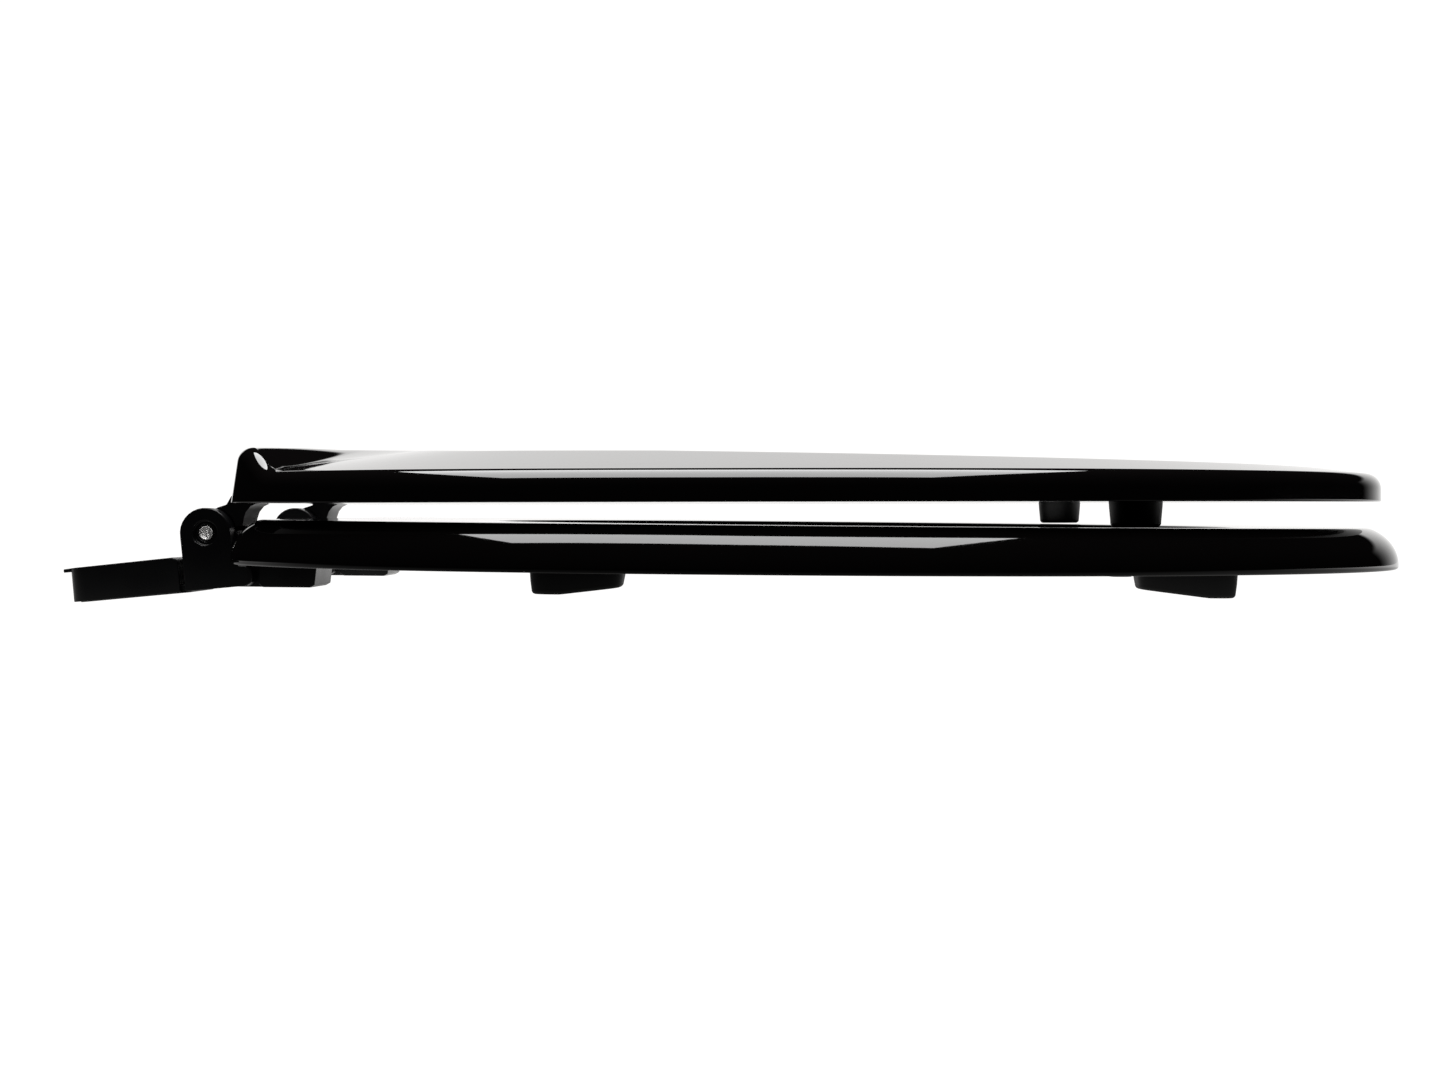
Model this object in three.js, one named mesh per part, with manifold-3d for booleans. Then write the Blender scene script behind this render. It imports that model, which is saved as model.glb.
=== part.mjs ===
// A hinged toilet seat: lid over seat ring, on two plastic hinges with covered bolts.
// Millimetres. +X points to the front (nose) of the seat, +Y to its left side, +Z up.
// Each hinged piece is drawn level, with the hinge pin as its origin, then turned about the pin
// to the slope that it hangs or lies at.

import * as THREE from 'three';
import { mergeVertices } from 'three/addons/utils/BufferGeometryUtils.js';
import Module from 'manifold-3d';

const wasm = await Module();
wasm.setup();

// ---- driving dimensions -------------------------------------------------------------------

const GAP = 0.3; // between pieces that move past each other
const SEAM = 0.05; // between pieces screwed together

const PIN_AT = { x: -189.32, z: 23.863 }; // hinge pin, from the middle of the floor under the seat
const HINGE_Y = 67; // middle of each hinge, from the centre line
const RING_SLOPE = 0.97; // degrees, nose down
const LID_SLOPE = 0.34;
const POST_SLOPE = -4.8; // the posts hang tail down, toe against the ring

// plan outlines, all distances from the pin
const RING_PLAN = { rear: 13.8, nose: 430, widest: 188, half: 183, corner: 108 };
const LID_PLAN = { rear: 13.9, nose: 423.5, widest: 186, half: 180, corner: 107 };
const HOLE_PLAN = { rear: 101, nose: 362, widest: 222, half: 106 };
const REAR_CROWN = 1; // how far the rear edge bows out
const ROUND = 0.5523; // a cubic curve's handle length for a quarter ellipse

const RING_BOTTOM = -9.96;
const RING_THICK = 15;
const RING_BAND = 76; // nominal distance across the band
const RING_OUTER_ROUND = { side: 10.6, nose: 12.5, rear: 12 }; // width of the outer round
const SHOULDER = { tight: 5.5, wide: 14.8, change: 27 }; // its radii, and the slope between them
const RING_INNER_ROUND = { across: 13, down: 10 };
const RING_DIP = 0.3; // how far the seat surface falls towards the hole
const EDGE_RADIUS = 1.2; // lower edges of ring and lid

const LID_BOTTOM = 10.9;
const LID_EDGE = 9.6; // height of the lid's side wall and its fillet
const LID_REAR_THICK = 19.4;
const LID_FALL = 0.0203; // how much the flat of the lid falls per mm towards the nose
const LID_BEVEL = 0.13; // rise per mm of the sloped border
const LID_FILLET = 5.7;
const LID_REAR_FILLET = 3;
const LID_SWEEP = { from: 16, long: 14, skew: 0.22 }; // where the sloped border runs out behind
const LID_REAR_LEAN = 0.3; // the rear wall leans forward, mm per mm

const KNUCKLE_R = 8.7;
const PIN_R = 2.6;
const PIN_HALF = 15.2;
const CHEEK = { inner: 10.3, outer: 17 }; // side plates of a post
const STRAP_HALF = 10; // half the width of a strap
const LID_KNUCKLE_HALF = 4.6;
const POST_BOTTOM = -19.5;
const FOOT = { front: -7, half: 14.6, bottom: -20, top: -17.2 };
const BOLT_SLOT = { x: -29, r: 3.6, half: 6.5 };
const CAP = { rear: -48.9, front: -10.5, half: 16.5, bottom: -19.7, topRear: -7.9, topFront: -7.4 };
const CAP_WALL = 1.4;
const CAP_LIP = 3.1;
const CAP_CORNER = 6;

const SCREW = { shank: 1.9, head: 3.6, headHigh: 1.2, chamfer: 0.5 };
const LID_SCREWS = [[25, -6], [25, 6], [38, 0]];
const SEAT_SCREWS = [[20, -5.5], [20, 5.5], [31, 0]];
const LID_BUMPER = { x: 317.4, y: 112, high: 9.2, r: 9, tip: 8.4 };
const RING_BUMPERS = {
  rear: { x: 135.9, y: 150, half: 14.8, deep: 7.3, shallow: 4.9, towards: -1 },
  front: { x: 333.4, y: 115, half: 16.7, deep: 8, shallow: 5.2, towards: 1 },
};
const BUMPER_HALF_WIDE = 10;

const AROUND = 80; // facets around the ring and the lid

// ---- materials ----------------------------------------------------------------------------

const paint = (name, color, roughness, metalness = 0) =>
  new THREE.MeshStandardMaterial({ name, color, roughness, metalness });
const LACQUER = paint('black_lacquered_wood', 0x050505, 0.08);
const PLASTIC = paint('black_moulded_plastic', 0x0b0b0c, 0.38);
const RUBBER = paint('black_rubber', 0x161617, 0.62);
const STEEL = paint('zinc_plated_steel', 0xc4c6c8, 0.3, 1);

// ---- helpers ------------------------------------------------------------------------------

/** A closed three.js geometry as a solid, with only its positions and shared vertices kept. */
function solid(geometry) {
  const bare = new THREE.BufferGeometry();
  const flat = geometry.index ? geometry.toNonIndexed() : geometry;
  bare.setAttribute('position', flat.getAttribute('position'));
  const merged = mergeVertices(bare, 1e-4);
  return new wasm.Manifold(new wasm.Mesh({
    numProp: 3,
    vertProperties: new Float32Array(merged.attributes.position.array),
    triVerts: new Uint32Array(merged.index.array),
  }));
}

/** A solid back as a three.js geometry. */
function geometryOf(shape) {
  const mesh = shape.getMesh();
  const geometry = new THREE.BufferGeometry();
  geometry.setAttribute('position', new THREE.BufferAttribute(mesh.vertProperties, 3));
  geometry.setIndex(new THREE.BufferAttribute(mesh.triVerts, 1));
  const faceted = geometry.toNonIndexed();
  faceted.computeVertexNormals();
  return faceted;
}

const joined = (first, ...rest) => rest.reduce((sum, next) => sum.add(next), first);
const cut = (first, ...rest) => rest.reduce((sum, next) => sum.subtract(next), first);

/** A side profile given as [x, z] points, as wide as from y0 to y1. */
function slab(points, y0, y1) {
  const shape = new THREE.Shape(points.map(([x, z]) => new THREE.Vector2(x, z)));
  const geometry = new THREE.ExtrudeGeometry(shape, { depth: y1 - y0, bevelEnabled: false });
  geometry.rotateX(Math.PI / 2).translate(0, y1, 0);
  return solid(geometry);
}

function block(x0, x1, y0, y1, z0, z1) {
  const geometry = new THREE.BoxGeometry(x1 - x0, y1 - y0, z1 - z0);
  geometry.translate((x0 + x1) / 2, (y0 + y1) / 2, (z0 + z1) / 2);
  return solid(geometry);
}

/** A round bar along Y, centred on the pin. */
function bar(radius, y0, y1, facets = 28) {
  const geometry = new THREE.CylinderGeometry(radius, radius, y1 - y0, facets);
  return solid(geometry.translate(0, (y0 + y1) / 2, 0));
}

/** A solid of revolution about a vertical axis at x, y, from [radius, z] points. */
function turned(points, x = 0, y = 0, facets = 24) {
  const profile = points.map(([r, z]) => new THREE.Vector2(r, z));
  const geometry = new THREE.LatheGeometry(profile, facets);
  return solid(geometry.rotateX(Math.PI / 2).translate(x, y, 0));
}

/** The points of an arc in a side profile, angles in degrees. */
function arc(cx, cz, radius, from, to, steps) {
  return Array.from({ length: steps + 1 }, (_, i) => {
    const angle = THREE.MathUtils.degToRad(from + ((to - from) * i) / steps);
    return [cx + radius * Math.cos(angle), cz + radius * Math.sin(angle)];
  });
}

// ---- plan outlines ------------------------------------------------------------------------

const point = (x, y) => new THREE.Vector2(x, y);

/** The quarter from the nose to the widest place: part of an ellipse. */
function noseQuarter({ nose, widest, half }) {
  return new THREE.CubicBezierCurve(
    point(nose, 0),
    point(nose, ROUND * half),
    point(widest + ROUND * (nose - widest), half),
    point(widest, half),
  );
}

/** From the widest place back along the flank, round the corner and along the rear edge. */
function rearQuarter({ rear, widest, half, corner }) {
  const flankEnd = point(rear + 17, corner + 25);
  const edgeStart = point(rear + 0.6, corner - 8);
  const path = new THREE.CurvePath();
  path.add(new THREE.CubicBezierCurve(
    point(widest, half),
    point(widest - 80, half),
    point(flankEnd.x + 32, flankEnd.y + 36),
    flankEnd,
  ));
  path.add(new THREE.CubicBezierCurve(
    flankEnd,
    point(flankEnd.x - 12, flankEnd.y - 13.5),
    point(edgeStart.x + 0.5, edgeStart.y + 15),
    edgeStart,
  ));
  path.add(new THREE.CubicBezierCurve(
    edgeStart,
    point(rear - 0.4, corner / 2),
    point(rear - REAR_CROWN, corner / 4),
    point(rear - REAR_CROWN, 0),
  ));
  return path;
}

/** The rear quarter of the hole: part of an ellipse. */
function holeRearQuarter({ rear, widest, half }) {
  return new THREE.CubicBezierCurve(
    point(widest, half),
    point(widest - ROUND * (widest - rear), half),
    point(rear, ROUND * half),
    point(rear, 0),
  );
}

/** A closed outline as a function of turn, 0 at the nose and 0.5 at the middle of the rear edge. */
function outline(front, rear) {
  return (turn) => {
    const side = turn <= 0.5 ? 1 : -1;
    const along = (turn <= 0.5 ? turn : 1 - turn) * 4;
    const p = along <= 1 ? front.getPointAt(along) : rear.getPointAt(Math.min(along - 1, 1));
    return point(p.x, side * p.y);
  };
}

const ringOutline = outline(noseQuarter(RING_PLAN), rearQuarter(RING_PLAN));
const lidOutline = outline(noseQuarter(LID_PLAN), rearQuarter(LID_PLAN));
const holeOutline = outline(noseQuarter(HOLE_PLAN), holeRearQuarter(HOLE_PLAN));

/** Revolves a profile, then carries each vertex from its turn and profile point to its place. */
function bent(profile, place) {
  const geometry = new THREE.LatheGeometry(profile, AROUND);
  const position = geometry.getAttribute('position');
  const at = new THREE.Vector3();
  for (let i = 0; i <= AROUND; i++) {
    for (let j = 0; j < profile.length; j++) {
      place(at, (i % AROUND) / AROUND, profile[j], j);
      position.setXYZ(i * profile.length + j, at.x, at.y, at.z);
    }
  }
  return solid(geometry);
}

/** A value that is one thing at the nose, another at the sides and another at the rear. */
function aroundEdge(turn, { nose, side, rear }) {
  const back = Math.cos(2 * Math.PI * turn);
  return side + (back > 0 ? nose - side : rear - side) * back ** 4;
}

// ---- seat ring ----------------------------------------------------------------------------

/** How far out and down the shoulder has got where its surface slopes by some degrees. */
function shoulder(slope) {
  const { tight, wide, change } = SHOULDER;
  const [a, b] = [Math.min(slope, change), Math.max(slope, change)].map(THREE.MathUtils.degToRad);
  const c = THREE.MathUtils.degToRad(change);
  return {
    out: tight * Math.sin(a) + wide * (Math.sin(b) - Math.sin(c)),
    down: tight * (1 - Math.cos(a)) + wide * (Math.cos(c) - Math.cos(b)),
  };
}

/** The ring's section: x is the distance from the hole's edge, y the height over the bottom. */
function ringSection() {
  const outer = RING_OUTER_ROUND.side;
  const { across, down } = RING_INNER_ROUND;
  const top = RING_THICK;
  const points = [[EDGE_RADIUS, 0], [RING_BAND - EDGE_RADIUS, 0]];
  const whole = shoulder(90);
  for (const slope of [90, 78, 66, 55, 45, 36, 27, 13, 0]) {
    const { out, down } = shoulder(slope);
    const rise = top - (down / whole.down) * (top - EDGE_RADIUS);
    points.push([RING_BAND - outer * (1 - out / whole.out), rise]);
  }
  points.push([RING_BAND / 2, top - RING_DIP / 2]);
  for (const angle of [90, 66, 44, 22, 0]) {
    const a = THREE.MathUtils.degToRad(angle);
    points.push([across * (1 - Math.cos(a)), top - RING_DIP - down * (1 - Math.sin(a))]);
  }
  points.push([0, EDGE_RADIUS], [EDGE_RADIUS, 0]);
  return points.map(([x, y]) => point(x + RING_BAND, y));
}

function ringBlank() {
  const outerZone = RING_BAND - RING_OUTER_ROUND.side;
  const innerZone = RING_INNER_ROUND.across;
  return bent(ringSection(), (at, turn, p) => {
    const inner = holeOutline(turn);
    const outer = ringOutline(turn);
    const length = inner.distanceTo(outer);
    const spread = aroundEdge(turn, RING_OUTER_ROUND) / RING_OUTER_ROUND.side;
    const across = p.x - RING_BAND;
    const lastFlat = length - RING_OUTER_ROUND.side * spread;
    let reach = across;
    if (across > outerZone) {
      reach = length - (RING_BAND - across) * spread;
    } else if (across > innerZone) {
      const share = (across - innerZone) / (outerZone - innerZone);
      reach = innerZone + share * (lastFlat - innerZone);
    }
    const spot = inner.clone().lerp(outer, reach / length);
    at.set(spot.x, spot.y, RING_BOTTOM + p.y);
  });
}

// ---- lid ----------------------------------------------------------------------------------

const lidEdgePoints = Array.from({ length: 360 }, (_, i) => lidOutline(i / 360))
  .filter((edge) => edge.x > LID_SWEEP.from); // all but the rear edge
const lidCentre = point(LID_PLAN.widest, 0);

/** Height of the flat of the lid over its bottom. */
const lidFlat = (x) => LID_REAR_THICK - LID_FALL * (x - LID_PLAN.rear);

/**
 * Height of the lid's top at x, some way in from the edge. The border rises from a low edge to
 * the flat, and behind it a short sweep lifts the border to the full height of the rear edge.
 */
function lidTop(x, inward) {
  const border = Math.min(lidFlat(x), LID_EDGE + LID_BEVEL * inward);
  const start = LID_SWEEP.from + LID_SWEEP.skew * inward;
  const sweep = 1 - THREE.MathUtils.smoothstep(x, start, start + LID_SWEEP.long);
  return border + (lidFlat(x) - border) * sweep;
}

/** How far in from the lid's sides and nose a place is, past the fillet. */
const inwardOf = (spot, fillet) =>
  Math.max(0, Math.min(...lidEdgePoints.map((edge) => edge.distanceTo(spot))) - fillet);

/** Rings of the lid's surface as [distance in from the edge, what sets the height]. */
const LID_RINGS = [
  [LID_PLAN.half, 'bottom'],
  [EDGE_RADIUS, 'bottom'],
  [0, 'wallFoot'],
  ...[0, 24, 46, 68, 90].map((angle) => [angle, 'fillet']),
  ...[10, 18, 27, 38, 50, 64, 82, 110].map((inset) => [inset, 'top']),
  [LID_PLAN.half, 'top'],
];

function lidBlank() {
  const profile = LID_RINGS.map(([inset, kind], i) => {
    const onAxis = i === 0 || i === LID_RINGS.length - 1;
    return point(onAxis ? 0 : LID_PLAN.half - (kind === 'fillet' ? i / 10 : inset), i);
  });
  return bent(profile, (at, turn, p, j) => {
    const [value, kind] = LID_RINGS[j];
    const edge = lidOutline(turn);
    const back = Math.max(0, -Math.cos(2 * Math.PI * turn)) ** 4;
    const fillet = LID_FILLET + (LID_REAR_FILLET - LID_FILLET) * back;
    const rim = lidTop(edge.x, 0);
    const angle = THREE.MathUtils.degToRad(value);
    let inset = value;
    let height = 0;
    if (kind === 'wallFoot') height = EDGE_RADIUS;
    if (kind === 'fillet') {
      inset = fillet * (1 - Math.cos(angle));
      height = rim - fillet * (1 - Math.sin(angle));
    }
    const length = edge.distanceTo(lidCentre);
    const share = j === 0 || j === LID_RINGS.length - 1 ? 1 : Math.min(inset / length, 0.97);
    const spot = edge.clone().lerp(lidCentre, share);
    if (kind === 'top') height = lidTop(spot.x, inwardOf(spot, fillet));
    at.set(spot.x + LID_REAR_LEAN * height * back * (1 - share), spot.y, LID_BOTTOM + height);
  });
}

// ---- fixings ------------------------------------------------------------------------------

/** A pan-head screw pointing up, the underside of its head at z. */
function screw(x, y, z, length) {
  const { shank, head, headHigh, chamfer } = SCREW;
  return turned([
    [0, z - headHigh],
    [head - chamfer, z - headHigh],
    [head, z - headHigh + chamfer],
    [head, z],
    [shank, z],
    [shank, z + length - 2],
    [0, z + length],
  ], x, y, 12);
}

/** The hole a screw needs, from z0 up to z1. */
const screwHole = (x, y, z0, z1, radius = SCREW.shank + GAP) =>
  turned([[0, z0], [radius, z0], [radius, z1], [0, z1]], x, y, 12);

// ---- straps: hinge leaves screwed to ring and lid ------------------------------------------

const STRAP_TOP = RING_BOTTOM - SEAM; // the seat strap lies under the ring
const STRAP_BOTTOM = -18.7;
const LEAF_POCKET = { deep: 1.6, end: 44.3, half: STRAP_HALF + GAP }; // the lid strap is let in
const LEAF_TOP = LID_BOTTOM + LEAF_POCKET.deep - SEAM;
const LEAF_BOTTOM = LID_BOTTOM - 0.4;
const PAD_HALF = 13; // the seat strap is wider under the ring
const COUNTERBORE = { strap: 2.4, leaf: 1.3 };
const SCREW_REACH = 9; // how far a screw goes into the wood
const strapBarrelR = KNUCKLE_R - GAP;

function seatStrap() {
  const leaf = slab([
    [3.6, -8.6], [7.3, -5.5], [9.1, -1.6], [10.7, -1.8], [12.6, -5], [13.3, -8.5],
    [13.3, STRAP_TOP], [38, STRAP_TOP], [37.2, -17.8], [35.6, STRAP_BOTTOM],
    [6.4, STRAP_BOTTOM], [4.4, -17.6], [3.4, -14],
  ], -STRAP_HALF, STRAP_HALF);
  const pad = slab([
    [17.8, STRAP_TOP], [38, STRAP_TOP], [37.2, -17.8], [35.6, STRAP_BOTTOM], [19.2, STRAP_BOTTOM],
    [17.8, -17.6],
  ], -PAD_HALF, PAD_HALF);
  const arm = [[-1.6, -8.1], [3.6, -13.8], [12, -12.4], [12, -4], [6.4, 4.6], [0, 0]];
  const knuckles = [-1, 1].map((side) => {
    const [y0, y1] = [LID_KNUCKLE_HALF + GAP, STRAP_HALF].map((y) => side * y).sort((a, b) => a - b);
    return joined(bar(strapBarrelR, y0, y1), slab(arm, y0, y1));
  });
  const holes = SEAT_SCREWS.flatMap(([x, y]) => [
    screwHole(x, y, STRAP_BOTTOM - 1, STRAP_TOP + 1),
    screwHole(x, y, STRAP_BOTTOM - 1, STRAP_BOTTOM + COUNTERBORE.strap, SCREW.head + GAP),
  ]);
  const bore = bar(PIN_R + GAP, -STRAP_HALF - 1, STRAP_HALF + 1, 24);
  return cut(joined(leaf, pad, ...knuckles), bore, ...holes);
}

function lidStrap() {
  const neck = [
    [2.2, 8.7], [5.6, 9.8], [7.2, 12.6], [8.2, 13.5], [13.4, 13.5], [13.5, LEAF_TOP],
    [43, LEAF_TOP], [44, LEAF_BOTTOM], [16.8, LEAF_BOTTOM], [14, 9.2], [12.4, 7.2],
    [11.6, 4.8], [11.4, 2.6], ...arc(0, 0, KNUCKLE_R + GAP, 13, 70, 6),
  ];
  const leaf = slab(neck, -STRAP_HALF, STRAP_HALF);
  const root = [[-1.2, 8.1], [5.6, 9.8], [12, 9.4], [11.4, 2.8], [8, 0.4], [0, 0]];
  const knuckle = joined(
    bar(strapBarrelR, -LID_KNUCKLE_HALF, LID_KNUCKLE_HALF),
    slab(root, -LID_KNUCKLE_HALF, LID_KNUCKLE_HALF),
  );
  const holes = LID_SCREWS.flatMap(([x, y]) => [
    screwHole(x, y, LEAF_BOTTOM - 1, LEAF_TOP + 1),
    screwHole(x, y, LEAF_BOTTOM - 1, LEAF_BOTTOM + COUNTERBORE.leaf, SCREW.head + GAP),
  ]);
  return cut(joined(leaf, knuckle), bar(PIN_R + GAP, -STRAP_HALF, STRAP_HALF, 24), ...holes);
}

// ---- post, pin and bolt cap ----------------------------------------------------------------

function hingePost(outward) {
  const cheekProfile = [
    ...arc(0, 0, KNUCKLE_R, -4, 184, 16),
    [-8.5, POST_BOTTOM],
    [12.6, POST_BOTTOM],
    [14.4, -18.6],
    [15, -16.8],
    [14.6, -13.6],
    [13.4, -12.6],
    [10.6, -12.2],
    [9.2, -10.6],
  ];
  const cheeks = [-1, 1].map((side) => {
    const [y0, y1] = [CHEEK.inner, CHEEK.outer].map((y) => side * y).sort((a, b) => a - b);
    return slab(cheekProfile, y0, y1);
  });
  const webProfile = [[-8.5, POST_BOTTOM], [1.2, POST_BOTTOM], [1.2, -14.6], [-2, -10.2], [-8.5, -10.2]];
  const web = slab(webProfile, -CHEEK.outer, CHEEK.outer);
  const foot = prism(capPlan(CAP.half - FOOT.half, FOOT.front), FOOT.bottom, FOOT.top);
  const slotEnds = [-1, 1].map((side) =>
    screwHole(BOLT_SLOT.x, side * BOLT_SLOT.half, FOOT.bottom - 1, FOOT.top + 1, BOLT_SLOT.r));
  const slotMiddle = block(
    BOLT_SLOT.x - BOLT_SLOT.r, BOLT_SLOT.x + BOLT_SLOT.r,
    -BOLT_SLOT.half, BOLT_SLOT.half,
    FOOT.bottom - 1, FOOT.top + 1,
  );
  const [recess0, recess1] = [CHEEK.outer - 1.6, CHEEK.outer + 1].map((y) => outward * y)
    .sort((a, b) => a - b);
  return cut(
    joined(web, foot, ...cheeks),
    bar(PIN_R + GAP, -CHEEK.outer - 1, CHEEK.outer + 1, 24),
    bar(4.3, recess0, recess1, 24),
    slotMiddle,
    ...slotEnds,
  );
}

function hingePin(outward) {
  const profile = [
    [0, -PIN_HALF], [PIN_R - 0.5, -PIN_HALF], [PIN_R, -PIN_HALF + 0.5],
    [PIN_R, PIN_HALF], [PIN_R - 0.5, PIN_HALF + 0.5], [0, PIN_HALF + 0.5],
  ].map(([r, y]) => point(r, y));
  const geometry = new THREE.LatheGeometry(profile, 24);
  if (outward < 0) geometry.rotateX(Math.PI);
  return solid(geometry);
}

/** A cap's plan: square at the post, rounded at the rear, drawn in by an amount. */
function capPlan(inset, front = CAP.front) {
  const { rear, half } = CAP;
  const x0 = rear + inset;
  const y1 = half - inset;
  const r = CAP_CORNER - inset / 2;
  const quarter = (cy, from) => arc(x0 + r, cy, r, from, from + 90, 5);
  const points = [[front, -y1], [front, y1], ...quarter(y1 - r, 90), ...quarter(-y1 + r, 180)];
  return new THREE.Shape(points.map(([x, y]) => point(x, y)));
}

/** A plan shape as an upright prism from z0 to z1. */
function prism(shape, z0, z1) {
  const geometry = new THREE.ExtrudeGeometry(shape, { depth: z1 - z0, bevelEnabled: false });
  return solid(geometry.translate(0, 0, z0));
}

/** A cover like an upturned tray: three skirt walls, a front wall and a sloping roof with a lip. */
function boltCap() {
  const { rear, front, half, bottom, topRear, topFront } = CAP;
  const under = slab([
    [rear - CAP_LIP, bottom], [front, bottom], [front, topFront - 1.6], [front - 0.6, topFront - 0.5],
    [front - 1.8, topFront], [rear, topRear], [rear - CAP_LIP, topRear - 0.15],
  ], -half, half);
  const shell = cut(
    prism(capPlan(0), bottom, topFront),
    prism(capPlan(CAP_WALL, front - CAP_WALL), bottom - 1, topRear - CAP_WALL),
    block(front - 3, front + 1, -FOOT.half - GAP, FOOT.half + GAP, bottom - 1, FOOT.top + GAP),
  );
  const lip = block(rear - CAP_LIP, rear + 4, -half + 6, half - 6, topRear - 1.35, topRear + 0.4);
  return joined(shell, lip).intersect(under);
}

// ---- bumpers ------------------------------------------------------------------------------

const BUMPER_TOP = RING_BOTTOM - SEAM;
const BUMPER_SCREW = 2.6; // depth of the screw's recess in a bumper

/** A wedge-shaped buffer with rounded ends and edges, deeper at one end. */
function ringBumper({ x, y, half, deep, shallow, towards }, side) {
  const bevel = 1.2;
  const end = half - bevel;
  const low = RING_BOTTOM - deep + bevel;
  const high = RING_BOTTOM - shallow + bevel;
  const top = BUMPER_TOP - bevel;
  const shape = new THREE.Shape();
  shape.moveTo(-end, top);
  shape.lineTo(-end + 1.4, high + 1);
  shape.quadraticCurveTo(-end + 1.8, high, -end + 3.4, high - 0.2);
  shape.lineTo(end - 10, low);
  shape.lineTo(end - 3.6, low);
  shape.quadraticCurveTo(end - 0.8, low, end - 0.5, low + 2);
  shape.lineTo(end, top);
  const geometry = new THREE.ExtrudeGeometry(shape, {
    depth: 2 * (BUMPER_HALF_WIDE - bevel),
    bevelThickness: bevel,
    bevelSize: bevel,
    bevelSegments: 2,
    curveSegments: 4,
  });
  geometry.rotateX(Math.PI / 2).translate(0, BUMPER_HALF_WIDE - bevel, 0);
  if (towards < 0) geometry.rotateZ(Math.PI);
  const body = solid(geometry.translate(x, side * y, 0));
  const at = [x + towards * (half - 9), side * y];
  const floor = RING_BOTTOM - deep;
  return cut(
    body,
    screwHole(...at, floor - 1, BUMPER_TOP + 1),
    screwHole(...at, floor - 1, floor + BUMPER_SCREW, SCREW.head + GAP),
  );
}

const bumperScrewAt = ({ x, y, half, towards }, side) => [x + towards * (half - 9), side * y];

/** A round tapered buffer under the lid, with a recess for its screw. */
function lidBumper(side) {
  const { x, y, high, r, tip } = LID_BUMPER;
  const top = LID_BOTTOM - SEAM;
  const bottom = LID_BOTTOM - high;
  const hole = SCREW.shank + GAP;
  const recess = SCREW.head + GAP;
  return turned([
    [hole, bottom + 3], [recess, bottom + 3], [recess, bottom], [tip - 2, bottom],
    [tip - 0.6, bottom + 0.6], [tip, bottom + 2], [r - 0.4, top - 3], [r, top],
    [hole, top], [hole, bottom + 3],
  ], x, side * y, 24);
}

// ---- assembly -----------------------------------------------------------------------------

const seat = new THREE.Group();

/** A group at the hinge pin, sloped by some degrees, nose down. */
function hung(slope) {
  const group = new THREE.Group();
  group.position.set(PIN_AT.x, 0, PIN_AT.z);
  group.rotation.y = THREE.MathUtils.degToRad(slope);
  seat.add(group);
  return group;
}

function put(group, name, shape, material, y = 0) {
  const mesh = new THREE.Mesh(geometryOf(shape), material);
  mesh.name = name;
  mesh.position.y = y;
  group.add(mesh);
}

const ringGroup = hung(RING_SLOPE);
const lidGroup = hung(LID_SLOPE);
const postGroup = hung(POST_SLOPE);
const SIDES = { left: 1, right: -1 };
const strapHoles = [];
const leafHoles = [];
const deepHole = (x, y, z0) => screwHole(x, y, z0 - 1, z0 + SCREW_REACH + 1);

for (const [name, side] of Object.entries(SIDES)) {
  const middle = side * HINGE_Y;
  put(postGroup, `hinge_post_${name}`, hingePost(side), PLASTIC, middle);
  put(postGroup, `hinge_pin_${name}`, hingePin(side), STEEL, middle);
  put(postGroup, `bolt_cap_${name}`, boltCap(), PLASTIC, middle);
  put(ringGroup, `seat_strap_${name}`, seatStrap(), PLASTIC, middle);
  put(lidGroup, `lid_strap_${name}`, lidStrap(), PLASTIC, middle);

  SEAT_SCREWS.forEach(([x, y], i) => {
    const head = STRAP_BOTTOM + COUNTERBORE.strap - SEAM;
    const length = STRAP_TOP + SCREW_REACH - head;
    put(ringGroup, `seat_strap_screw_${name}_${i + 1}`, screw(x, y, head, length), STEEL, middle);
    strapHoles.push(deepHole(x, y + middle, RING_BOTTOM));
  });
  LID_SCREWS.forEach(([x, y], i) => {
    const head = LEAF_BOTTOM + COUNTERBORE.leaf - SEAM;
    const length = SCREW_REACH + LID_BOTTOM - head - 1;
    put(lidGroup, `lid_strap_screw_${name}_${i + 1}`, screw(x, y, head, length), STEEL, middle);
    leafHoles.push(deepHole(x, y + middle, LID_BOTTOM));
  });

  for (const [place, bumper] of Object.entries(RING_BUMPERS)) {
    const [x, y] = bumperScrewAt(bumper, side);
    const head = RING_BOTTOM - bumper.deep + BUMPER_SCREW - SEAM;
    const length = RING_BOTTOM + SCREW_REACH - head;
    put(ringGroup, `ring_bumper_${place}_${name}`, ringBumper(bumper, side), RUBBER);
    put(ringGroup, `ring_bumper_screw_${place}_${name}`, screw(x, y, head, length), STEEL);
    strapHoles.push(deepHole(x, y, RING_BOTTOM));
  }

  const { deep, end, half } = LEAF_POCKET;
  leafHoles.push(block(0, end, middle - half, middle + half, LID_BOTTOM - 1, LID_BOTTOM + deep));

  const { x, y, high } = LID_BUMPER;
  const head = LID_BOTTOM - high + 3 - SEAM;
  put(lidGroup, `lid_bumper_${name}`, lidBumper(side), RUBBER);
  put(lidGroup, `lid_bumper_screw_${name}`, screw(x, side * y, head, high + 4), STEEL);
  leafHoles.push(screwHole(x, side * y, LID_BOTTOM - 1, LID_BOTTOM + 8));
}

put(ringGroup, 'seat_ring', cut(ringBlank(), ...strapHoles), LACQUER);
put(lidGroup, 'lid', cut(lidBlank(), ...leafHoles), LACQUER);

export default seat;
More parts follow.
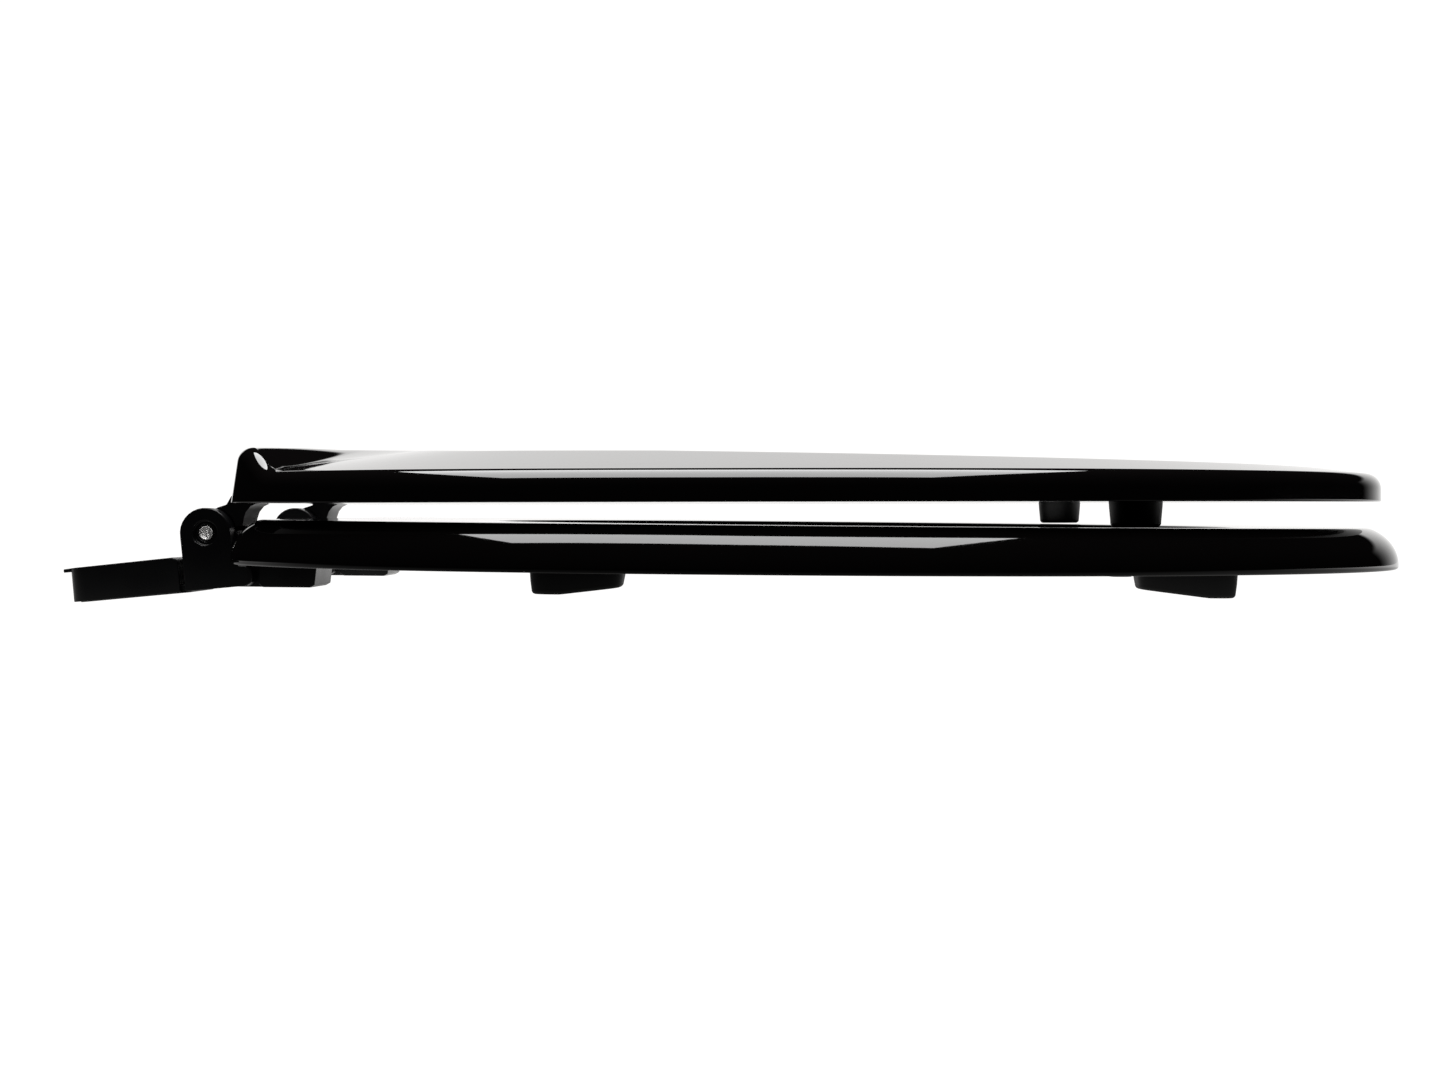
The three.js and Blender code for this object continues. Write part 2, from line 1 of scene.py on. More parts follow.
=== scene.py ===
# %% [markdown]
# # A black lacquered toilet seat, in Blender
#
# The object is a hinged toilet seat: a lid over a seat ring, both of pressed wood fibre under
# thick gloss lacquer, held by two plastic hinges whose bolts hide under small caps.
#
# The CAD model is the frame. It says where every part is and how it moves. This script gives
# the parts that show their finished surfaces, and each new piece rides on the frame's bodies.
#
# Lengths here are written in millimetres and turned to metres where they enter Blender.

# %% The frame
import math

import bpy
import bmesh
import numpy as np
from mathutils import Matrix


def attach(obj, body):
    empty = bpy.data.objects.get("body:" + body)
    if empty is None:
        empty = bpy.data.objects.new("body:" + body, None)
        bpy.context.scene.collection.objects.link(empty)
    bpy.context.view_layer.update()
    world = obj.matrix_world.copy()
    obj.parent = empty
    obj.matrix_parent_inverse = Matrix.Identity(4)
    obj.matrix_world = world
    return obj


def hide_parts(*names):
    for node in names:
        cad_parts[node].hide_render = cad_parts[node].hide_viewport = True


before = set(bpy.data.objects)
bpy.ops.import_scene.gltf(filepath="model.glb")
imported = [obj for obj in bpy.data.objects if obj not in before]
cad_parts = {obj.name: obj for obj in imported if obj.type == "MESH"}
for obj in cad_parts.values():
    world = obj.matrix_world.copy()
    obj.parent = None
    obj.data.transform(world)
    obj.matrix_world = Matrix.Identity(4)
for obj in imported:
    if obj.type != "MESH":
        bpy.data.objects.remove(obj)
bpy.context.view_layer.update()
MM = 0.001
SIDES = {"left": 1, "right": -1}
scene = bpy.context.scene

# %% [markdown]
# ## The camera
#
# The seat is seen exactly from its right side, from a little above the floor and about
# 0.85 m away. A lens can be slid instead of turned, as on a view camera: the lines that run
# away from the viewer then meet at a point beside the middle of the view, and the seat's
# long edges stay level. The small slide below is that, and the roll is under half a degree.

# %% Camera
CAMERA_AT = (19.1, -850.0, 30.48)  # mm
ROLL = 0.45  # degrees, front of the seat up

lens = bpy.data.cameras.new("camera")
lens.lens = 55.26
lens.sensor_width = 36.0
lens.shift_x = -0.0592
lens.shift_y = -0.0228
lens.clip_start = 0.05
lens.clip_end = 50.0
camera = bpy.data.objects.new("camera", lens)
camera.location = [value * MM for value in CAMERA_AT]
camera.rotation_euler = (math.pi / 2, math.radians(ROLL), 0.0)
scene.collection.objects.link(camera)
scene.camera = camera
print("camera at", CAMERA_AT, "mm, lens", lens.lens, "mm")

# %% [markdown]
# ## Colour and shader helpers
#
# Colours are picked as on a screen, in sRGB, but shaders count light, which is linear. One
# function turns a hex colour into linear numbers. A second one adds a shader node, sets its
# options and plugs in its inputs, so that each material below reads as a short recipe.


# %% Helpers for materials
def tone(code):
    """An sRGB hex colour as linear numbers: v / 12.92 when small, else ((v + .055) / 1.055) ** 2.4."""
    srgb = np.array([int(code[i:i + 2], 16) for i in (1, 3, 5)]) / 255
    linear = np.where(srgb <= 0.04045, srgb / 12.92, ((srgb + 0.055) / 1.055) ** 2.4)
    return (*linear.tolist(), 1.0)


def add(tree, kind, inputs=None, **options):
    """Adds a node. A socket in inputs is linked, and anything else is set as the input's value."""
    made = tree.nodes.new(kind)
    for key, value in options.items():
        setattr(made, key, value)
    for key, value in (inputs or {}).items():
        if isinstance(value, bpy.types.NodeSocket):
            tree.links.new(value, made.inputs[key])
        else:
            made.inputs[key].default_value = value
    return made


def begin(name):
    """A new material with an empty tree, its tree and the object's own coordinates."""
    material = bpy.data.materials.new(name)
    material.use_nodes = True
    material.node_tree.nodes.clear()
    place = add(material.node_tree, "ShaderNodeTexCoord").outputs["Object"]
    return material, material.node_tree, place


def close(tree, shader):
    """Plugs a shader into the material's output."""
    add(tree, "ShaderNodeOutputMaterial", {"Surface": shader.outputs[0]})


def per_mm(size):
    """The texture scale, per metre, of a pattern whose features are this many mm apart."""
    return 1 / (size * MM)


# %% [markdown]
# ## Gloss lacquer over pressed wood fibre
#
# Each half of the seat is pressed from wood fibre and dipped or sprayed with several coats of
# black polyester lacquer. The liquid levels itself, so it mirrors the room, but not quite
# flat: it keeps a faint ripple some millimetres long, called orange peel, that makes the edge
# of a reflection waver. Below that there is a finer shiver where dust was caught and polished
# over. Two noises with real sizes give the two: the ripple is about a hundredth of a millimetre
# high, and the shiver a thousandth. A third, wide noise makes some patches a little hazier.

# %% Lacquer
lacquer, tree, place = begin("black_polyester_lacquer_on_fibreboard")
peel = add(tree, "ShaderNodeTexNoise", {
    "Vector": place, "Scale": per_mm(9), "Detail": 2.0, "Roughness": 0.5,
})
shiver = add(tree, "ShaderNodeTexNoise", {"Vector": place, "Scale": per_mm(1.6), "Detail": 1.0})
wave = add(tree, "ShaderNodeBump", {
    "Height": peel.outputs["Fac"], "Strength": 1.0, "Distance": 0.012 * MM,
})
skin = add(tree, "ShaderNodeBump", {
    "Height": shiver.outputs["Fac"], "Strength": 1.0, "Distance": 0.0012 * MM,
    "Normal": wave.outputs["Normal"],
})
haze = add(tree, "ShaderNodeTexNoise", {"Vector": place, "Scale": per_mm(60), "Detail": 4.0})
polish = add(tree, "ShaderNodeMapRange", {"Value": haze.outputs["Fac"], "To Min": 0.02, "To Max": 0.06})
close(tree, add(tree, "ShaderNodeBsdfPrincipled", {
    "Base Color": tone("#060505"),
    "Roughness": polish.outputs["Result"],
    "IOR": 1.56,
    "Normal": skin.outputs["Normal"],
}))
print("material:", lacquer.name)

# %% [markdown]
# ## Moulded plastic of the hinges
#
# Hinges and caps are injection moulded, in black ABS or polypropylene. The mould is
# spark eroded, which leaves a matt grain, drawn here at half a millimetre so that it shows.
# Thick places sink a little as they cool, so a wide ripple bends the reflections, and rubbed
# places shine more. All in all it mirrors less than the lacquer, and looks a softer black.

# %% Hinge plastic
plastic, tree, place = begin("black_moulded_hinge_plastic")
grain = add(tree, "ShaderNodeTexNoise", {
    "Vector": place, "Scale": per_mm(0.5), "Detail": 3.0, "Roughness": 0.6,
})
ripple = add(tree, "ShaderNodeTexNoise", {"Vector": place, "Scale": per_mm(14), "Detail": 1.0})
eroded = add(tree, "ShaderNodeBump", {
    "Height": grain.outputs["Fac"], "Strength": 0.6, "Distance": 0.03 * MM,
})
sunk = add(tree, "ShaderNodeBump", {
    "Height": ripple.outputs["Fac"], "Strength": 0.5, "Distance": 0.2 * MM,
    "Normal": eroded.outputs["Normal"],
})
rubbed = add(tree, "ShaderNodeMapRange", {
    "Value": ripple.outputs["Fac"], "To Min": 0.22, "To Max": 0.34,
})
close(tree, add(tree, "ShaderNodeBsdfPrincipled", {
    "Base Color": tone("#060607"),
    "Roughness": rubbed.outputs["Result"],
    "IOR": 1.53,
    "Specular IOR Level": 0.28,
    "Normal": sunk.outputs["Normal"],
}))
print("material:", plastic.name)

# %% [markdown]
# ## Rubber of the bumpers
#
# The bumpers are a soft thermoplastic rubber. It is duller and a little greyer than the hinge
# plastic, with a fine powdery bloom on its surface.

# %% Bumper rubber
rubber, tree, place = begin("black_soft_bumper_rubber")
bloom = add(tree, "ShaderNodeTexNoise", {
    "Vector": place, "Scale": per_mm(5), "Detail": 6.0, "Roughness": 0.65,
})
grit = add(tree, "ShaderNodeTexNoise", {"Vector": place, "Scale": per_mm(0.6), "Detail": 2.0})
pitted = add(tree, "ShaderNodeBump", {
    "Height": grit.outputs["Fac"], "Strength": 0.5, "Distance": 0.05 * MM,
})
greyed = add(tree, "ShaderNodeMix", {
    "Factor": bloom.outputs["Fac"], "A": tone("#121213"), "B": tone("#1c1c1d"),
}, data_type="RGBA")
dull = add(tree, "ShaderNodeMapRange", {"Value": bloom.outputs["Fac"], "To Min": 0.42, "To Max": 0.58})
close(tree, add(tree, "ShaderNodeBsdfPrincipled", {
    "Base Color": greyed.outputs["Result"],
    "Roughness": dull.outputs["Result"],
    "IOR": 1.5,
    "Normal": pitted.outputs["Normal"],
}))
print("material:", rubber.name)

# %% [markdown]
# ## Steel
#
# The pins are bright stainless rod, sheared and tumbled, so the ends are mottled and glitter.
# The screws are zinc plated, and the crystals of the zinc make a faint patchwork. Both are bare
# metal: the colour is in the reflection.

# %% Steel
steel, tree, place = begin("tumbled_stainless_rod")
mottle = add(tree, "ShaderNodeTexNoise", {
    "Vector": place, "Scale": per_mm(0.8), "Detail": 4.0, "Roughness": 0.7,
})
dented = add(tree, "ShaderNodeBump", {
    "Height": mottle.outputs["Fac"], "Strength": 0.9, "Distance": 0.3 * MM,
})
worn = add(tree, "ShaderNodeMapRange", {"Value": mottle.outputs["Fac"], "To Min": 0.12, "To Max": 0.4})
close(tree, add(tree, "ShaderNodeBsdfPrincipled", {
    "Base Color": tone("#c9c8c6"),
    "Metallic": 1.0,
    "Roughness": worn.outputs["Result"],
    "Normal": dented.outputs["Normal"],
}))

zinc, tree, place = begin("zinc_plated_screw_steel")
spangle = add(tree, "ShaderNodeTexVoronoi", {"Vector": place, "Scale": per_mm(0.7)})
tint = add(tree, "ShaderNodeMix", {
    "Factor": spangle.outputs["Distance"], "A": tone("#b9bcc0"), "B": tone("#9b9da1"),
}, data_type="RGBA")
plated = add(tree, "ShaderNodeBump", {
    "Height": spangle.outputs["Distance"], "Strength": 0.2, "Distance": 0.04 * MM,
})
close(tree, add(tree, "ShaderNodeBsdfPrincipled", {
    "Base Color": tint.outputs["Result"],
    "Metallic": 1.0,
    "Roughness": 0.3,
    "Normal": plated.outputs["Normal"],
}))
print("materials:", steel.name, "and", zinc.name)

# %% [markdown]
# ## Skins from loops
#
# Nearly every piece here is a stack of closed loops: a row of points once round the piece, at
# one level, then the next row, and so on. Joining each point to its neighbours gives quads.
# The first and last loops are either joined to each other, for a ring with a hole through it,
# or closed with a fan about their middle. The arrays are worked out whole, then handed to
# Blender in one go.


# %% Helpers for meshes
def skin_of(name, loops, ring=False, sharp=40):
    """Quad (i, j) joins loop i to loop i + 1 and point j to point j + 1; j wraps, and i if ring."""
    levels, around = loops.shape[:2]
    i = np.arange(levels if ring else levels - 1)[:, None]
    j = np.arange(around)[None, :]
    k = (j + 1) % around
    below, above = i * around, (i + 1) % levels * around
    quads = np.stack([below + j, below + k, above + k, above + j], -1).reshape(-1, 4)
    points = loops.reshape(-1, 3)
    faces = quads.tolist()
    if not ring:
        ends = np.array([loops[0].mean(0), loops[-1].mean(0)])
        first, last = len(points), len(points) + 1
        points = np.concatenate([points, ends])
        j, k = j[0], k[0]
        top = (levels - 1) * around
        faces += np.stack([k, j, np.full(around, first)], -1).tolist()
        faces += np.stack([top + j, top + k, np.full(around, last)], -1).tolist()
    return mesh_of(name, points, faces, sharp)


def mesh_of(name, points, faces, sharp):
    """Points in mm become a smooth mesh in metres, outside outwards, creased over sharp degrees."""
    mesh = bpy.data.meshes.new(name)
    mesh.from_pydata((points * MM).tolist(), [], faces)
    shape = bmesh.new()
    shape.from_mesh(mesh)
    bmesh.ops.recalc_face_normals(shape, faces=shape.faces)
    shape.to_mesh(mesh)
    shape.free()
    mesh.shade_smooth()
    mesh.set_sharp_from_angle(angle=math.radians(sharp))
    piece = bpy.data.objects.new(name, mesh)
    scene.collection.objects.link(piece)
    return piece


def settle(piece, material, body, slot, *nodes):
    """Gives a piece its material, lets it ride on its body and stand for its CAD nodes."""
    piece.data.materials.clear()
    piece.data.materials.append(material)
    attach(piece, body)
    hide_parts(*nodes)
    return len(piece.data.polygons)


# %% [markdown]
# ## Where the hinged pieces lie
#
# Each hinged part is drawn level with the hinge pin as its origin, and then turned about the
# pin by the small slope it rests at. The pin's place is the CAD's.

# %% Hinge pin
PIN = np.array([-189.32, 0.0, 23.863])  # mm
RING_SLOPE, LID_SLOPE, POST_SLOPE = 0.97, 0.34, -4.8  # degrees, front down


def hung(points, slope):
    """Turns points about the pin: x' = x cos a + z sin a and z' = z cos a - x sin a."""
    a = math.radians(slope)
    x, y, z = np.moveaxis(points, -1, 0)
    turned = np.stack([x * math.cos(a) + z * math.sin(a), y, z * math.cos(a) - x * math.sin(a)], -1)
    return turned + PIN


# %% [markdown]
# ## Plan outlines
#
# Seen from above, lid and ring are half an ellipse in front, a flank that narrows, a rounded
# corner and a nearly straight rear edge. Each stretch is a cubic curve. To spread points
# evenly, the curve is drawn finely first, its length is summed up, and points are read off
# at equal lengths.

# %% Plan outlines
AROUND = 640  # points once round lid and ring
ROUND = 0.5523  # handle length that makes a cubic a quarter ellipse


def cubic(p0, p1, p2, p3):
    """A cubic curve at 240 places: (1-t)^3 p0 + 3t(1-t)^2 p1 + 3t^2(1-t) p2 + t^3 p3."""
    t = np.linspace(0, 1, 240)[:, None]
    p0, p1, p2, p3 = (np.array(p, float) for p in (p0, p1, p2, p3))
    return (1 - t) ** 3 * p0 + 3 * t * (1 - t) ** 2 * p1 + 3 * t ** 2 * (1 - t) * p2 + t ** 3 * p3


def evenly(path, count):
    """Count points at equal lengths along a path, its end left out."""
    length = np.concatenate([[0], np.cumsum(np.linalg.norm(np.diff(path, axis=0), axis=1))])
    at = np.linspace(0, length[-1], count + 1)[:-1]
    return np.stack([np.interp(at, length, path[:, axis]) for axis in (0, 1)], -1)


def front_quarter(nose, widest, half):
    """Nose to widest place, a quarter of an ellipse."""
    reach = widest + ROUND * (nose - widest)
    return cubic((nose, 0), (nose, ROUND * half), (reach, half), (widest, half))


def rear_quarter(rear, widest, half, corner):
    """Flank, corner and rear edge: three cubics end to end."""
    flank = (rear + 17, corner + 25)
    edge = (rear + 0.6, corner - 8)
    bow = rear - 1
    return np.concatenate([
        cubic((widest, half), (widest - 80, half), (flank[0] + 32, flank[1] + 36), flank),
        cubic(flank, (flank[0] - 12, flank[1] - 13.5), (edge[0] + 0.5, edge[1] + 15), edge),
        cubic(edge, (rear - 0.4, corner / 2), (bow, corner / 4), (bow, 0)),
    ])


def whole(front, rear):
    """Both quarters, then their mirror image back to the nose."""
    half = np.concatenate([evenly(front, AROUND // 4), evenly(rear, AROUND // 4), rear[-1:]])
    return np.concatenate([half, half[-2:0:-1] * (1, -1)])


# mm from the pin: nose, widest place and half width there, rear edge, half width at the corners
RING_NOSE, RING_WIDEST, RING_HALF, RING_REAR, RING_CORNER = 430, 188, 183, 13.8, 108
LID_NOSE, LID_WIDEST, LID_HALF, LID_BACK, LID_CORNER = 423.5, 186, 180, 13.9, 107
HOLE_NOSE, HOLE_WIDEST, HOLE_HALF, HOLE_REAR = 362, 222, 106, 101

hole_rear = cubic(
    (HOLE_WIDEST, HOLE_HALF), (HOLE_WIDEST - ROUND * (HOLE_WIDEST - HOLE_REAR), HOLE_HALF),
    (HOLE_REAR, ROUND * HOLE_HALF), (HOLE_REAR, 0),
)
ring_outline = whole(front_quarter(RING_NOSE, RING_WIDEST, RING_HALF),
                     rear_quarter(RING_REAR, RING_WIDEST, RING_HALF, RING_CORNER))
hole_outline = whole(front_quarter(HOLE_NOSE, HOLE_WIDEST, HOLE_HALF), hole_rear)
lid_outline = whole(front_quarter(LID_NOSE, LID_WIDEST, LID_HALF),
                    rear_quarter(LID_BACK, LID_WIDEST, LID_HALF, LID_CORNER))
turn = np.arange(AROUND) / AROUND
back = np.cos(2 * np.pi * turn)  # 1 at the nose, -1 at the middle of the rear edge
print("ring, mm:", np.ptp(ring_outline, axis=0).round(1))
print("lid, mm:", np.ptp(lid_outline, axis=0).round(1))

# %% [markdown]
# ## The seat ring
#
# The ring's section is flat below. Its outer shoulder starts with a tight radius at the seat
# surface and goes on with a wide one down the side. The top dips gently, and a softer round
# leads into the hole. The section is written once as points with two numbers each: how far out
# and how high. At every place round the seat it is fitted between the hole and the outline.

# %% Seat ring
RING_BOTTOM, RING_THICK = -9.96, 15.0
SIDE_ROUND, NOSE_ROUND, REAR_ROUND = 10.6, 12.5, 12.0  # width of the outer shoulder
TIGHT, WIDE, CHANGE = 5.5, 14.8, math.radians(27)  # its radii, and the slope between them
INNER_ACROSS, INNER_DOWN, DIP, EDGE = 13.0, 10.0, 0.3, 1.2

end_round = np.where(back > 0, NOSE_ROUND, REAR_ROUND)
outer_round = SIDE_ROUND + (end_round - SIDE_ROUND) * back ** 4
band = np.linalg.norm(ring_outline - hole_outline, axis=1)

edge_turn = np.linspace(-np.pi / 2, 0, 6)
slopes = np.linspace(np.pi / 2, 0, 30)
top_share = np.linspace(0, 1, 15)[1:-1]
inner_sweep = np.linspace(np.pi / 2, 0, 22)


def shoulder(slope):
    """Run and drop of two joined arcs, up to a slope s: r sin s and r (1 - cos s) for each arc."""
    a, b = np.minimum(slope, CHANGE), np.maximum(slope, CHANGE)
    run = TIGHT * np.sin(a) + WIDE * (np.sin(b) - math.sin(CHANGE))
    drop = TIGHT * (1 - np.cos(a)) + WIDE * (math.cos(CHANGE) - np.cos(b))
    return run, drop


def ring_loops():
    """Loops from the lower outer edge over the shoulder and the top into the hole.

    Reach is the distance from the hole's edge; a quarter ellipse is (w (1 - cos s), h sin s)."""
    reach = []
    height = []
    for s in edge_turn:  # outer lower edge
        reach.append(band - EDGE * (1 - math.cos(s)))
        height.append(EDGE * (1 + math.sin(s)))
    runs, drops = shoulder(slopes)
    for run, drop in zip(runs[1:] / runs[0], drops[1:] / drops[0]):  # outer shoulder
        reach.append(band - outer_round * (1 - run))
        height.append(RING_THICK - (RING_THICK - EDGE) * drop)
    start, stop = band - outer_round, INNER_ACROSS
    for share in top_share:  # top, with its dip
        reach.append(start + (stop - start) * share)
        height.append(RING_THICK - DIP * (3 * share ** 2 - 2 * share ** 3))
    for s in inner_sweep:  # round into the hole
        reach.append(INNER_ACROSS * (1 - math.cos(s)) + 0 * band)
        height.append(RING_THICK - DIP - INNER_DOWN * (1 - math.sin(s)))
    for s in edge_turn[::-1]:  # inner lower edge
        reach.append(EDGE * (1 - math.cos(s)) + 0 * band)
        height.append(EDGE * (1 + math.sin(s)))
    share = np.array(reach) / band
    plan = hole_outline + (ring_outline - hole_outline) * share[..., None]
    level = RING_BOTTOM + np.array(height)[:, None] + 0 * share
    return np.concatenate([plan, level[..., None]], -1)


seat_ring = skin_of("seat_ring_shell", hung(ring_loops(), RING_SLOPE), ring=True)
print("seat ring:", settle(seat_ring, lacquer, "ring", "lacquer", "seat_ring"), "faces")

# %% [markdown]
# ## The lid
#
# The lid is a slab with a vertical wall, a rounded shoulder and a wide sloped border that
# climbs to a flat field. Behind, the border runs out in a concave sweep, and the rear wall
# leans forward and takes the whole height. Every point of the border belongs to the nearest
# point of the sides or the nose, so its height is the edge's height plus the slope times the
# distance to that point.

# %% Lid heights
LID_BOTTOM, LID_EDGE, LID_REAR, LID_FALL = 10.9, 9.6, 19.4, 0.0203
BEVEL, SIDE_FILLET, REAR_FILLET = 0.13, 5.7, 3.0  # the border's slope and the shoulder's radii
SWEEP_START, SWEEP_LONG, SWEEP_SKEW = 18.0, 14.0, 0.2  # where the border runs out behind
LEAN = 0.3  # of the rear wall, mm per mm
LID_EDGE_ROUND = 0.5  # lower edge of the wall
SAG = 0.8  # how far the whole underside lies below the straps' seat, so it covers their leaves
HOLD = 0.25  # from a rounding to the loop that keeps the wall's shading flat
DROOP, DROOP_GONE = 1.5, 160  # how low the rear corners hang, and the x where that has died out
CREASE = 0.35  # mm, how much the crease between border and field is eased
LID_CENTRE = np.array([LID_WIDEST, 0.0])


def field(x, y):
    """Height of the flat field: it falls towards the front, and to the corners by |y / half|^3."""
    corner = np.minimum(np.abs(y) / LID_CORNER, 1) ** 3 * np.clip((DROOP_GONE - x) / 100, 0, 1)
    return LID_REAR - LID_FALL * (x - LID_BACK) - DROOP * corner


def top_at(x, y, inward):
    """Border edge + slope * inward, eased into the field, then lifted to it by a rear smoothstep."""
    flat, rise = field(x, y), LID_EDGE + BEVEL * inward
    h = np.clip(0.5 + (flat - rise) / (2 * CREASE), 0, 1)
    low = flat + (rise - flat) * h - CREASE * h * (1 - h)
    share = np.clip((x - SWEEP_START - SWEEP_SKEW * inward) / SWEEP_LONG, 0, 1)
    return low + (flat - low) * (1 - share * share * (3 - 2 * share))


def inward_of(spots, fillet):
    """Distance of each spot from the nearest point of sides or nose, less the shoulder's width."""
    edge = lid_outline[lid_outline[:, 0] > SWEEP_START]
    gaps = np.linalg.norm(spots[:, None, :] - edge[None, :, :], axis=2).min(1)
    return np.maximum(gaps - fillet, 0)


# %% Lid
lid_back = np.maximum(0, -back) ** 4
fillet = SIDE_FILLET + (REAR_FILLET - SIDE_FILLET) * lid_back
lid_rim = top_at(*lid_outline.T, np.zeros(AROUND))
lid_reach = np.linalg.norm(lid_outline - LID_CENTRE, axis=1)
INNERMOST = 0.985  # no loop comes nearer to the lid's middle than this share of the way
TOP_INSETS = np.concatenate([np.linspace(7, 84, 56), [92, 102, 116, 134, 156]])


def lid_loops():
    """Loops from the middle of the underside, out and up the wall, over the shoulder and in."""
    inset = [np.full(AROUND, value) for value in (150.0, 100.0, 50.0, 20.0, 6.0)]
    height = [np.full(AROUND, -SAG) for _ in inset]
    for s in edge_turn:
        inset.append(LID_EDGE_ROUND * (1 - math.cos(s)) + 0 * fillet)
        height.append(LID_EDGE_ROUND * (1 + math.sin(s)) - SAG + 0 * fillet)
    for level in (LID_EDGE_ROUND + HOLD - SAG + 0 * fillet, lid_rim - fillet - HOLD):
        inset.append(0 * fillet)
        height.append(level)
    for s in np.linspace(0, np.pi / 2, 20):
        inset.append(fillet * (1 - math.cos(s)))
        height.append(lid_rim - fillet * (1 - math.sin(s)))
    shares = [np.minimum(value / lid_reach, INNERMOST) for value in inset]
    for value in TOP_INSETS:
        share = np.minimum(value / lid_reach, INNERMOST)
        spots = lid_outline + (LID_CENTRE - lid_outline) * share[:, None]
        shares.append(share)
        height.append(top_at(*spots.T, inward_of(spots, fillet)))
    share, height = np.array(shares), np.array(height)
    plan = lid_outline + (LID_CENTRE - lid_outline) * share[..., None]
    plan[..., 0] += LEAN * height * lid_back * (1 - share)
    return np.concatenate([plan, (LID_BOTTOM + height)[..., None]], -1)


lid = skin_of("lid_shell", hung(lid_loops(), LID_SLOPE))
print("lid:", settle(lid, lacquer, "lid", "lacquer", "lid"), "faces")

# %% [markdown]
# ## Hinges, straps and caps
#
# These are small mouldings with flat sides. Their CAD solids already have the right form, but
# a mould never leaves a knife edge. A merged copy of each gets its flat faces joined, and a
# Bevel modifier rounds every edge by a few tenths of a millimetre.


# %% Softened copies
def softened(node, name, width):
    """A copy of a CAD node with doubles merged, flat faces joined and edges rounded by width mm."""
    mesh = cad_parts[node].data.copy()
    shape = bmesh.new()
    shape.from_mesh(mesh)
    bmesh.ops.remove_doubles(shape, verts=shape.verts, dist=0.00002)
    bmesh.ops.dissolve_limit(shape, angle_limit=math.radians(0.6), verts=shape.verts, edges=shape.edges)
    shape.to_mesh(mesh)
    shape.free()
    mesh.name = name
    mesh.shade_smooth()
    piece = bpy.data.objects.new(name, mesh)
    scene.collection.objects.link(piece)
    edge = piece.modifiers.new("moulded edges", "BEVEL")
    edge.width = width * MM
    edge.segments = 2
    edge.limit_method = "ANGLE"
    edge.angle_limit = math.radians(35)
    edge.use_clamp_overlap = False
    flat = piece.modifiers.new("flat faces stay flat", "WEIGHTED_NORMAL")
    flat.keep_sharp = False
    return piece


MOULDINGS = [  # the CAD node, the body it rides on, and how wide its edges are rounded, in mm
    ("hinge_post", "post_{}", 0.35),
    ("bolt_cap", "cap_{}", 0.3),
    ("seat_strap", "ring", 0.25),
    ("lid_strap", "lid", 0.25),
]
for side in SIDES:
    for kind, body, width in MOULDINGS:
        node = f"{kind}_{side}"
        moulding = softened(node, f"{node}_moulding", width)
        faces = settle(moulding, plastic, body.format(side), "plastic", node)
        print(node, "moulding:", faces, "faces before its edges are rounded")

# %% [markdown]
# ## Bumpers
#
# Each ring bumper is a wedge with rounded corners, deeper at one end, so that it stands square
# on the sloping rim of a bowl. Its screw sits in a round well in the deep end. The loops run
# down the wall, round the lower edge, across the sole, and then up into the well. The lid's
# bumpers are round and slightly tapered, with the same kind of well.

# %% Bumpers
angle = np.linspace(0, 2 * np.pi, 96, endpoint=False)
SEAM = 0.05  # mm between pieces that are screwed together
HALF_WIDE, FLAT_SOLE, SCREW_IN = 10.0, 10.0, 9.0  # of a wedge; the last two from its deep end
LOW_EDGE, DRAFT = 1.3, 0.6  # radius of a wedge's lower edge, and how much its wall draws in
WELL_R, WELL_DEEP = 3.9, 2.6  # the screw's well
LID_BUMPER_AT, LID_BUMPER_HIGH, LID_WELL_DEEP = (317.4, 112), 9.2, 3.0


def circle(radius, z, x=0.0, y=0.0):
    """A level circle: (x + r cos a, y + r sin a, z)."""
    return np.stack([x + radius * np.cos(angle), y + radius * np.sin(angle), z + 0 * angle], -1)


def lozenge(half_x, half_y):
    """A superellipse, |x / a|^n + |y / b|^n = 1 with n = 4.5: a rectangle with soft corners."""
    c, s = np.cos(angle), np.sin(angle)
    x, y = (np.sign(value) * np.abs(value) ** (2 / 4.5) for value in (c, s))
    return np.stack([half_x * x, half_y * y], -1)


def wedge_bumper(x, y, half, deep, shallow, towards):
    """Loops of a ring bumper: depth runs from shallow to deep along x, then stays deep."""
    plan = lozenge(half, HALF_WIDE)

    def depth_at(spot):
        return np.interp(spot[:, 0], [-half, half - FLAT_SOLE, half], [shallow, deep, deep])

    def round_about_screw(radius):
        return np.stack([half - SCREW_IN + radius * np.cos(angle), radius * np.sin(angle)], -1)

    waist = plan * (1 - 0.35 * DRAFT / half)
    rows = [(plan, np.full(len(angle), -SEAM)), (waist, -0.5 * (depth_at(waist) - LOW_EDGE))]
    for s in np.linspace(0, np.pi / 2, 9):  # lower edge
        inset = DRAFT + LOW_EDGE * (1 - math.cos(s))
        spot = plan * (1 - inset / np.array([half, HALF_WIDE]))
        rows.append((spot, -depth_at(spot) + LOW_EDGE * (1 - math.sin(s))))
    sole = rows[-1][0]
    mouth = round_about_screw(WELL_R + 0.3)
    for share in (0.3, 0.6, 0.85, 1.0):
        spot = sole + (mouth - sole) * share
        rows.append((spot, -depth_at(spot)))
    for radius, rise in ((WELL_R, 0.25), (WELL_R, WELL_DEEP), (1.0, WELL_DEEP)):
        rows.append((round_about_screw(radius), rise - deep + 0 * angle))
    loops = np.array([np.concatenate([spot, level[:, None]], 1) for spot, level in rows])
    loops[..., 0] = x + towards * loops[..., 0]
    loops[..., 1] = y + loops[..., 1]
    loops[..., 2] += RING_BOTTOM
    return hung(loops, RING_SLOPE)


